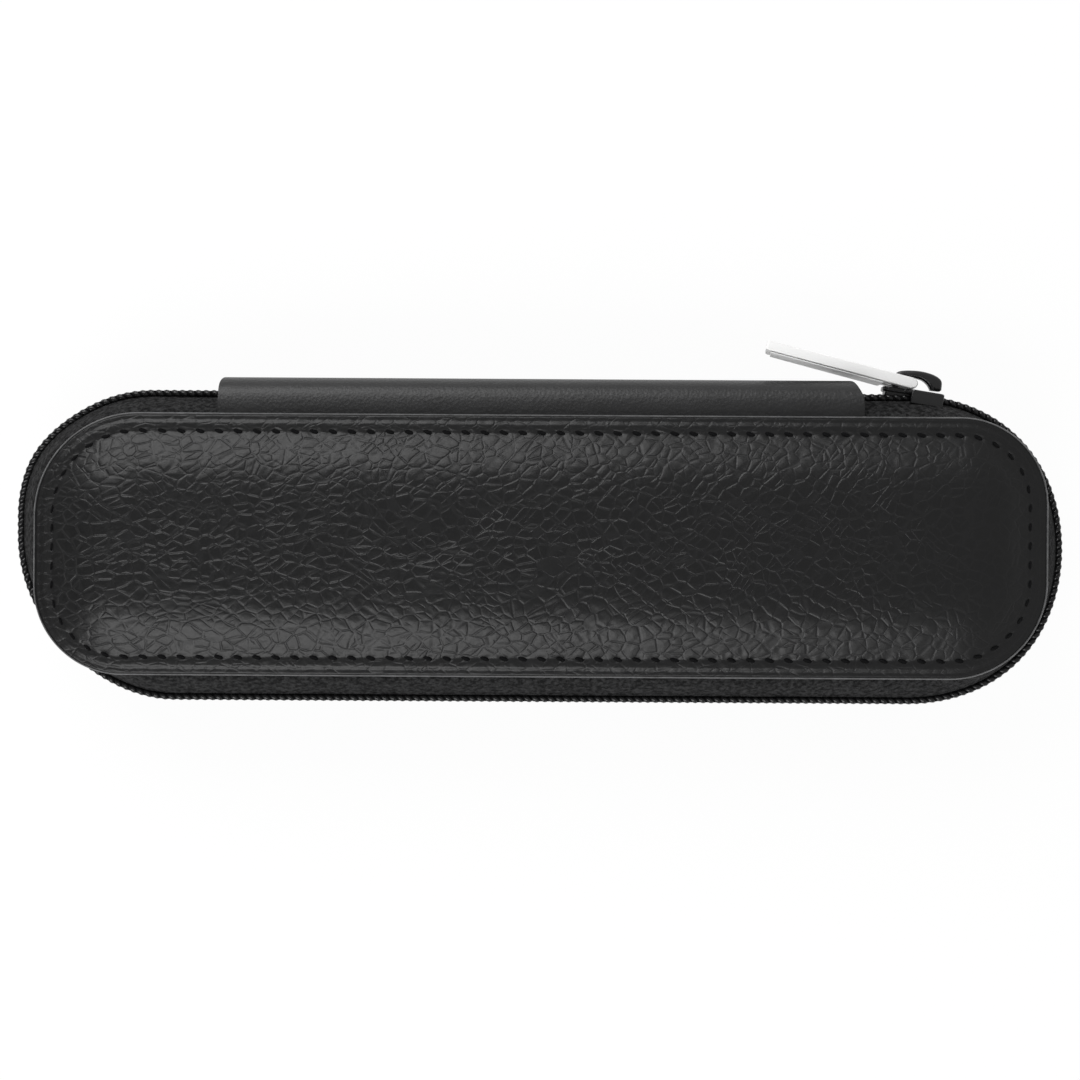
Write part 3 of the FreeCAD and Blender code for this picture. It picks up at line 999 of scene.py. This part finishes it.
def hold_zip(made, side, half):
    """Leaves the left half of a tape or coil where it is made, on no body; at its end by the spine both coils
    stay joined.

    The right half, where the slider rests, stays with its shell all along.
    """
    if half == "right":
        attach(made, shell_name(side))
        return
    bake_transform(made)


def bezier(controls, share):
    """A value on a cubic Bezier curve."""
    rest = 1 - share
    weights = (rest ** 3, 3 * rest ** 2 * share, 3 * rest * share ** 2, share ** 3)
    return sum(weight * control for weight, control in zip(weights, controls))


def make_tape(side):
    """A woven tape that comes out from under the panel, turns down to the coil and runs on behind it."""
    name = side_name(side)
    wall = open_ring(TAPE_EDGE, 0.7 * MM)
    tuck = Vector((TAPE_TUCK, TAPE_TUCK))
    root = nearest_on_outline(wall, panel_low + tuck, panel_high - tuck, PANEL_RADII - TAPE_TUCK)
    reach = np.linalg.norm(wall - root, axis=1)
    outward = unit(wall - root)
    spine_side = wall[:, 1] > ring_high.y - SPINE_SIDE
    hidden = np.where(spine_side, smoothstep((TUCK_X + TUCK_RUN - np.abs(wall[:, 0])) / TUCK_RUN), 0)
    root = root + outward * (reach * TUCK_SHARE * hidden)[:, None]
    reach = reach * (1 - TUCK_SHARE * hidden)
    root_depth = (front_low.z - MIDDLE - TAPE_THICKNESS / 2) * (1 - hidden) + TUCK_DEPTH * hidden
    section = []
    for share in np.linspace(0, 1, 16):
        plan = root + outward * (reach * bezier(BULGE_OUT, share))[:, None]
        depth = BULGE_END + (root_depth - BULGE_END) * bezier(BULGE_DEPTH, share)
        section.append(raised(plan, side_level(side, depth)))
    for share in (0.4, 0.7, 1.0):
        plan = wall - outward * (TAPE_SET_BACK * share)
        depth = BULGE_END + (TAPE_GAP - BULGE_END) * share
        section.append(raised(plan, side_level(side, depth)))
    surface = np.stack(section, 1)
    normal = np.cross(np.gradient(surface, axis=1), np.gradient(surface, axis=0))
    offset = side * unit(normal) * TAPE_THICKNESS / 2
    places = places_along(wall)
    widths = np.cumsum(np.linalg.norm(np.diff(surface, axis=1, prepend=surface[:, :1]), axis=2), axis=1)
    for half, span in halves(wall).items():
        vertices, faces, _ = shell(surface[span] + offset[span], surface[span] - offset[span])
        made = piece(f"{name}_tape_{half}", [(vertices, faces, 0)], [zip_tape],
                     replaces=(name + "_zip_tape",), smooth_angle=60)
        flat = grid_of(places[span][:, None], widths[span]).reshape(-1, 2)
        add_uv(made, np.concatenate([flat, flat]))
        hold_zip(made, side, half)


def add_uv(made, flat):
    """Gives each face corner the flat place of its vertex."""
    layer = made.data.uv_layers.new(name="flat")
    corners = np.zeros(len(made.data.loops), int)
    made.data.loops.foreach_get("vertex_index", corners)
    layer.data.foreach_set("uv", flat[corners].astype(np.float32).ravel())


def make_coil(side):
    """One half of the zip: a flattened helix round a cord. Its heads lie between those of the other half."""
    name = side_name(side)
    path = Path(open_ring(COIL_THICKNESS / 2, 0.25 * MM))
    half_out = COIL_THICKNESS / 2 - COIL_WIRE
    half_up = (COIL_REACH + COIL_OVERLAP) / 2 - COIL_WIRE
    centre = (COIL_REACH - COIL_OVERLAP) / 2
    steps = 14
    turns = int(path.length / COIL_PITCH) - 1
    shift = 0.25 if side > 0 else 0.75
    for half, first, last in (("left", 0, turns // 2), ("right", turns // 2, turns)):
        angle = np.arange(first * steps, last * steps + 1) * 2 * math.pi / steps
        swing = -signed_power(np.cos(angle), 0.8)
        lift = signed_power(np.sin(angle), 0.5)
        place = (angle / (2 * math.pi) + shift) * COIL_PITCH + COIL_SLANT * swing * np.clip(lift, 0, 1)
        plan = path.at(place)
        ahead = path.heading(place)
        outward = np.stack([ahead[:, 1], -ahead[:, 0]], -1)
        plan = plan + outward * (half_out * swing)[:, None]
        points = raised(plan, side_level(side, centre + half_up * lift))
        up = raised(ahead, 0)
        width = COIL_WIRE + (COIL_STRAND - COIL_WIRE) * smoothstep((lift + 0.8) / 0.6)
        middle = path.at(np.arange(place[0], place[-1], COIL_PITCH / 2))
        cord = raised(middle, side_level(side, centre))
        fill = sweep(cord, COIL_THICKNESS / 2 - CORD_GAP, half_up + COIL_WIRE - CORD_GAP, (0, 0, 1), 12, 3.0)
        parts = [(*sweep(points, COIL_WIRE, width, up, 8), 0), (*fill, 1)]
        made = piece(f"{name}_coil_{half}", parts, [zip_coil, thread],
                     replaces=(name + "_zip_coil",), smooth_angle=80)
        hold_zip(made, side, half)


for side in SIDES:
    make_tape(side)
    make_coil(side)


def make_clamp(name, body, node):
    """A zip stop: a small clamp bent round the coil, open towards the tape."""
    low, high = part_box(node)
    size = high - low
    half_y = size.y / 2
    half_z = size.z / 2
    inner_z = CLAMP_WALL - half_z
    outline = rounded_polygon(mirrored([
        (half_y - CLAMP_WALL, inner_z, 0.2 * MM), (-half_y, inner_z, 0.1 * MM),
        (-half_y, -half_z, 0.15 * MM), (half_y, -half_z, 0.5 * MM)]), 4)
    turn = Matrix(((0, 0, 1, 0), (1, 0, 0, 0), (0, 1, 0, 0), (0, 0, 0, 1)))
    part = placed(plate(outline, size.x, 0.12 * MM), Matrix.Translation((low + high) / 2) @ turn)
    piece(name, [(*part, 0)], [black_metal], body, (node,))


make_clamp("front_stop_clamp", "front_shell", "front_top_stop")
make_clamp("back_stop_clamp", "back_shell", "back_top_stop")
make_clamp("bottom_stop_clamp", "spine", "zip_bottom_stop")


# Spine

def make_spine(side):
    """Half of the spine strip, from under one panel to the middle of the case's edge."""
    tuck_y = spine_low.y
    turn_y = front_high.y - SPINE_TURN
    reach = spine_high.y - turn_y
    drop = front_low.z - SPINE_CLEAR - MIDDLE
    angles = np.linspace(0, math.pi / 2, 22)
    outer_y = turn_y + reach * np.cos(angles) ** (2 / SPINE_POWER)
    outer_d = drop * np.sin(angles) ** (2 / SPINE_POWER)
    outer_y = np.concatenate([outer_y, np.linspace(turn_y, tuck_y, 5)[1:]])
    outer_d = np.concatenate([outer_d, np.full(4, drop)])
    thickness = SPINE_THICKNESS * np.where(outer_y > turn_y, 1, 0.5)
    run_y = np.gradient(outer_y)
    run_d = np.gradient(outer_d)
    length = np.hypot(run_y, run_d)
    inner_y = outer_y - thickness * run_d / length
    inner_d = outer_d + thickness * run_y / length
    corner = np.clip((outer_y - spine_high.y) / SPINE_CORNER + 1, 0, 1)
    left = SPINE_LEFT + LEFT_CUT * corner ** 4
    right = SPINE_RIGHT - RIGHT_CUT * corner - RIGHT_ROUND * corner ** 12
    share = np.linspace(0, 1, 131)[:, None]
    x = left + (right - left) * share
    layers = []
    for layer_y, layer_d in ((outer_y, outer_d), (inner_y, inner_d)):
        layers.append(grid_of(x, layer_y, side_level(side, layer_d)))
    part = shell(*layers)
    made = piece("spine_strip_" + side_name(side), [part], [smooth_leather, lining_cloth, smooth_leather],
                 replaces=("spine_leather",), smooth_angle=50)
    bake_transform(made)


for side in SIDES:
    make_spine(side)


def make_spine_lining():
    low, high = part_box("spine_lining")
    size = high - low
    outline = rounded_polygon(mirrored([
        (-size.x / 2, -size.z / 2, 2 * MM), (size.x / 2, -size.z / 2, 2 * MM)]))
    turn = Matrix.Rotation(math.pi / 2, 4, "X")
    part = placed(plate(outline, size.y, 0.2 * MM), Matrix.Translation((low + high) / 2) @ turn)
    piece("spine_lining_strip", [(*part, 0)], [lining_cloth], "spine", ("spine_lining",))


make_spine_lining()


# Slider and puller

def make_slider():
    """Two plates joined at the nose, side flanges at the tail, and an open hook for the puller.

    Outlines are in millimetres, from the nose at the left to the tail.
    """
    flat = Matrix(((1, 0, 0, 0), (0, 0, 1, 0), (0, 1, 0, 0), (0, 0, 0, 1)))
    seat = (Matrix.Translation(slider_turn) @ Matrix.Rotation(SLIDER_PLACE, 4, "Z")
            @ Matrix.Translation((0, ring_high.y - slider_turn.y, 0)) @ Matrix.Rotation(SLIDER_TILT, 4, "Z"))
    cover = mirrored([(-4.9, -1.7, 1.3), (-1.5, -2.1, 0.8), (-0.3, -3.3, 0.6), (4.9, -3.1, 0.9)])
    wedge = mirrored([(-4.5, -0.25, 0.1), (-2.1, -0.25, 0.1)])
    shoulder = mirrored([(-4.5, -1.4, 0.5), (0.1, -1.8, 0.3)])
    layers = [
        (cover, -0.2, 0.6, 0.25), (cover, -4.2, -3.5, 0.2),
        (wedge, -3.9, 0.3, 0.1), (shoulder, -0.8, 0.3, 0.1),
    ]
    for sign in (-1, 1):
        flange = [(-0.5, sign * 2.45, 0.3), (4.8, sign * 2.45, 0.3),
                  (4.8, sign * 3.1, 0.3), (-0.5, sign * 3.3, 0.3)]
        layers += [(flange, -1.75, 0.5, 0.25), (flange, -3.8, -2.9, 0.2)]
    parts = []
    for outline, low, high, bevel in layers:
        part = plate(rounded_polygon(in_mm(outline)), (high - low) * MM, bevel * MM)
        parts.append(placed(part, seat @ Matrix.Translation((0, (low + high) / 2 * MM, 0)) @ flat))
    over = smooth_line([
        (-3.4, 0.4), (-3.45, 1.6), (-3.1, 2.9), (-2.2, 3.55), (0.3, 3.95), (2.4, 3.85), (3.85, 3.4),
        (4.5, 2.75), (4.65, 1.45)])
    under = smooth_line([
        (4.4, 1.2), (2.95, 1.15), (2.75, 1.4), (2.25, 1.98), (1.4, 2.5), (0.3, 2.7), (-0.9, 2.6), (-1.9, 2.1),
        (-2.2, 1.3), (-2.2, 0.4)])
    hook = np.concatenate([over, under]) * MM
    parts.append(placed(plate(hook, 1.9 * MM, 0.55 * MM, 5), seat))
    parts = [(*part, 0) for part in parts]
    piece("zip_slider", parts, [black_metal], "slider", ("slider_body",))


def smooth_line(points, steps=5):
    """Catmull-Rom points through a short list of points."""
    points = np.array(points)
    padded = np.concatenate([[2 * points[0] - points[1]], points, [2 * points[-1] - points[-2]]])
    made = []
    for before, start, end, after in zip(padded, padded[1:], padded[2:], padded[3:]):
        square = 2 * before - 5 * start + 4 * end - after
        cube = 3 * start - before - 3 * end + after
        for step in range(steps):
            share = step / steps
            made.append(start + ((end - before) * share + square * share ** 2 + cube * share ** 3) / 2)
    made.append(points[-1])
    return np.array(made)


def make_puller():
    """A flat bar that forks round the hook. The fork ends in knuckles, with a thin pin between them."""
    half = PULLER_WIDTH / 2
    end = PULLER_LENGTH
    slot = PULLER_SLOT / 2
    outline = rounded_polygon(mirrored([
        (PULLER_FORK, -slot, 0.4 * MM), (0, -slot, 0.2 * MM), (0, -half, 0.2 * MM), (end, -half, 0.5 * MM)]))
    flat = Matrix(((-1, 0, 0, 0), (0, 0, 1, 0), (0, 1, 0, 0), (0, 0, 0, 1)))
    turn = Matrix.Translation(puller_pivot + PULLER_SHIFT) @ Matrix.Rotation(-PULLER_ANGLE, 4, "Z") @ flat

    def layer(outline, thickness, offset, bevel):
        vertices, faces = plate(outline, thickness, bevel, 4)
        share = vertices[:, 0] / end
        vertices[:, 2] = (vertices[:, 2] + offset) * (PULLER_EYE + (1 - PULLER_EYE) * share)
        vertices[:, 0] += PULLER_SLANT * (vertices[:, 1] - half) * smoothstep(share * 4 - 3)
        return (*placed((vertices, faces), turn), 0)

    def field(inset):
        edge = inset - half
        return rounded_polygon(mirrored([
            (FIELD_START, edge, 0.5 * MM), (end - FIELD_END - inset, edge, 0.5 * MM)]))

    def bar(x, y, z, radius, sides):
        line = grid_of(x, y, z)
        return (*placed(sweep(line, radius, radius, (0, 0, 1), sides), turn), 0)

    below = -(PULLER_THICKNESS + PULLER_FIELD) / 2 - PULLER_GROOVE
    parts = [
        layer(outline, PULLER_THICKNESS, 0, 0.14 * MM),
        layer(field(0.8 * MM), 0.5 * MM, -PULLER_THICKNESS / 2, 0.05 * MM),
        layer(field(0.2 * MM), PULLER_FIELD, below, 0.06 * MM),
    ]
    share = np.linspace(slot / half, 1, 8)
    rounding = 0.75 + 0.25 * np.sqrt(np.clip((1 - share) * 8, 0, 1))
    eye_radius = PULLER_EYE * PULLER_THICKNESS / 2 * rounding
    for sign in (1, -1):
        parts.append(bar(0, sign * share * (half - 0.02 * MM), 0, eye_radius, 20))
    pin = turn.inverted() @ (puller_pivot + PULLER_SHIFT / 3)
    parts.append(bar(pin.x, np.linspace(-1.2, 1.2, 5) * slot, pin.z, PULLER_PIN / 2, 16))
    piece("puller_bar", parts, [satin_metal], "puller", ("zip_puller",))


make_slider()
make_puller()


# Pen bands

def make_band(name):
    """An elastic band sewn down in three places, with a loop for a pen on each side of the middle."""
    low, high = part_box(name)
    loop = (high.y - low.y - 3 * BAND_FOOT) / 2
    top = high.z - BAND_THICKNESS / 2 - 0.1 * MM
    base = low.z + BAND_THICKNESS / 2
    line = [(low.y, base)]
    for index in range(2):
        start = low.y + BAND_FOOT + index * (loop + BAND_FOOT)
        angles = np.linspace(math.pi, 0, 40)
        bulge_y = signed_power(np.cos(angles), 0.6)
        bulge_z = np.abs(np.sin(angles)) ** 0.6
        line += [(start + loop / 2 * (1 + y), base + (top - base) * z) for y, z in zip(bulge_y, bulge_z)]
    line.append((high.y, base))
    line = np.array(line)
    tangent = unit(np.gradient(line, axis=0))
    normal = np.stack([-tangent[:, 1], tangent[:, 0]], -1) * BAND_THICKNESS / 2
    x = np.linspace(low.x, high.x, 25)
    layers = []
    for sign in (1, -1):
        plan = line + sign * normal
        plan[:, 1] = np.clip(plan[:, 1], low.z, high.z)
        layers.append(grid_of(x[:, None], plan[:, 0], plan[:, 1]))
    vertices, faces, _ = shell(*layers)
    made = piece(name + "_elastic", [(vertices, faces, 0)], [elastic], "back_shell", (name,), 50)
    flat = grid_of(places_along(line)[None], x[:, None]).reshape(-1, 2)
    add_uv(made, np.concatenate([flat, flat]))
    parts = []
    for index in range(3):
        middle = low.y + BAND_FOOT / 2 + index * (loop + BAND_FOOT)
        for place in np.arange(low.x + BAND_STITCH_PITCH / 2, high.x, BAND_STITCH_PITCH):
            parts.append(stitch((place, middle), np.array((1, 0)), low.z + BAND_THICKNESS, 1, FINE_STITCH))
    piece(name + "_stitches", parts, [thread], "back_shell")


make_band("left_pen_band")
make_band("right_pen_band")


# Floor, light and camera

def seen_directly(tree):
    """1 where a background is seen or mirrored, 0 where it only lights the case."""
    light = add_node(tree, "ShaderNodeLightPath").outputs
    seen = calculate(tree, "MAXIMUM", light["Is Camera Ray"], light["Is Glossy Ray"])
    return calculate(tree, "MAXIMUM", seen, light["Is Transmission Ray"])


def make_floor():
    """A white floor that takes the case's shadow. Seen directly or mirrored it is mostly plain white."""
    bpy.ops.mesh.primitive_plane_add(size=4, location=(0, 0, cad_low.z))
    floor = bpy.context.object
    floor.name = "floor"
    material = new_material("floor", (0.93, 0.93, 0.93), 0.9, Specular_IOR_Level=0.1)
    tree = material.node_tree
    white = add_node(tree, "ShaderNodeEmission", {"Strength": 1.0})
    share = calculate(tree, "MULTIPLY", seen_directly(tree), FLOOR_WHITE)
    mixed = {0: share, 1: shader_of(tree).outputs[0], 2: white.outputs[0]}
    mix = add_node(tree, "ShaderNodeMixShader", mixed)
    tree.links.new(mix.outputs[0], tree.nodes["Material Output"].inputs["Surface"])
    floor.data.materials.append(material)


def add_lamp(name, place, power):
    lamp = bpy.data.lights.new(name, "AREA")
    lamp.shape = "RECTANGLE"
    lamp.size, lamp.size_y = LAMP_SIZE
    lamp.energy = power
    holder = bpy.data.objects.new(name, lamp)
    holder.location = place
    holder.rotation_euler = (-Vector(place)).to_track_quat("-Z", "Y").to_euler()
    bpy.context.scene.collection.objects.link(holder)


def make_world():
    """Soft light from everywhere, stronger from the right, with a white backdrop along the horizon."""
    world = bpy.data.worlds.new("studio")
    world.use_nodes = True
    tree = world.node_tree
    direction = add_node(tree, "ShaderNodeTexCoord").outputs["Generated"]
    along = add_node(tree, "ShaderNodeSeparateXYZ", {0: direction}).outputs
    light = remap(tree, along[0], *WORLD_LIGHT, -WORLD_RUN, WORLD_RUN)
    backdrop = calculate(tree, "MULTIPLY", seen_directly(tree), remap(tree, along[2], 1, 0, *HORIZON))
    lack = calculate(tree, "SUBTRACT", BACKDROP, light)
    strength = calculate(tree, "ADD", light, calculate(tree, "MULTIPLY", backdrop, lack))
    background = tree.nodes["Background"]
    background.inputs["Color"].default_value = (1, 1, 1, 1)
    tree.links.new(strength, background.inputs["Strength"])
    bpy.context.scene.world = world


def make_camera():
    camera = bpy.data.cameras.new("camera")
    camera.lens = CAMERA_LENS
    camera.sensor_width = 36
    holder = bpy.data.objects.new("camera", camera)
    holder.location = (0, 0, MIDDLE + CAMERA_HEIGHT)
    holder.rotation_euler = (0, 0, CAMERA_ROLL)
    bpy.context.scene.collection.objects.link(holder)
    bpy.context.scene.camera = holder


make_floor()
make_world()
for lamp_settings in LAMPS:
    add_lamp(*lamp_settings)
make_camera()
bpy.context.scene.view_settings.view_transform = "Standard"
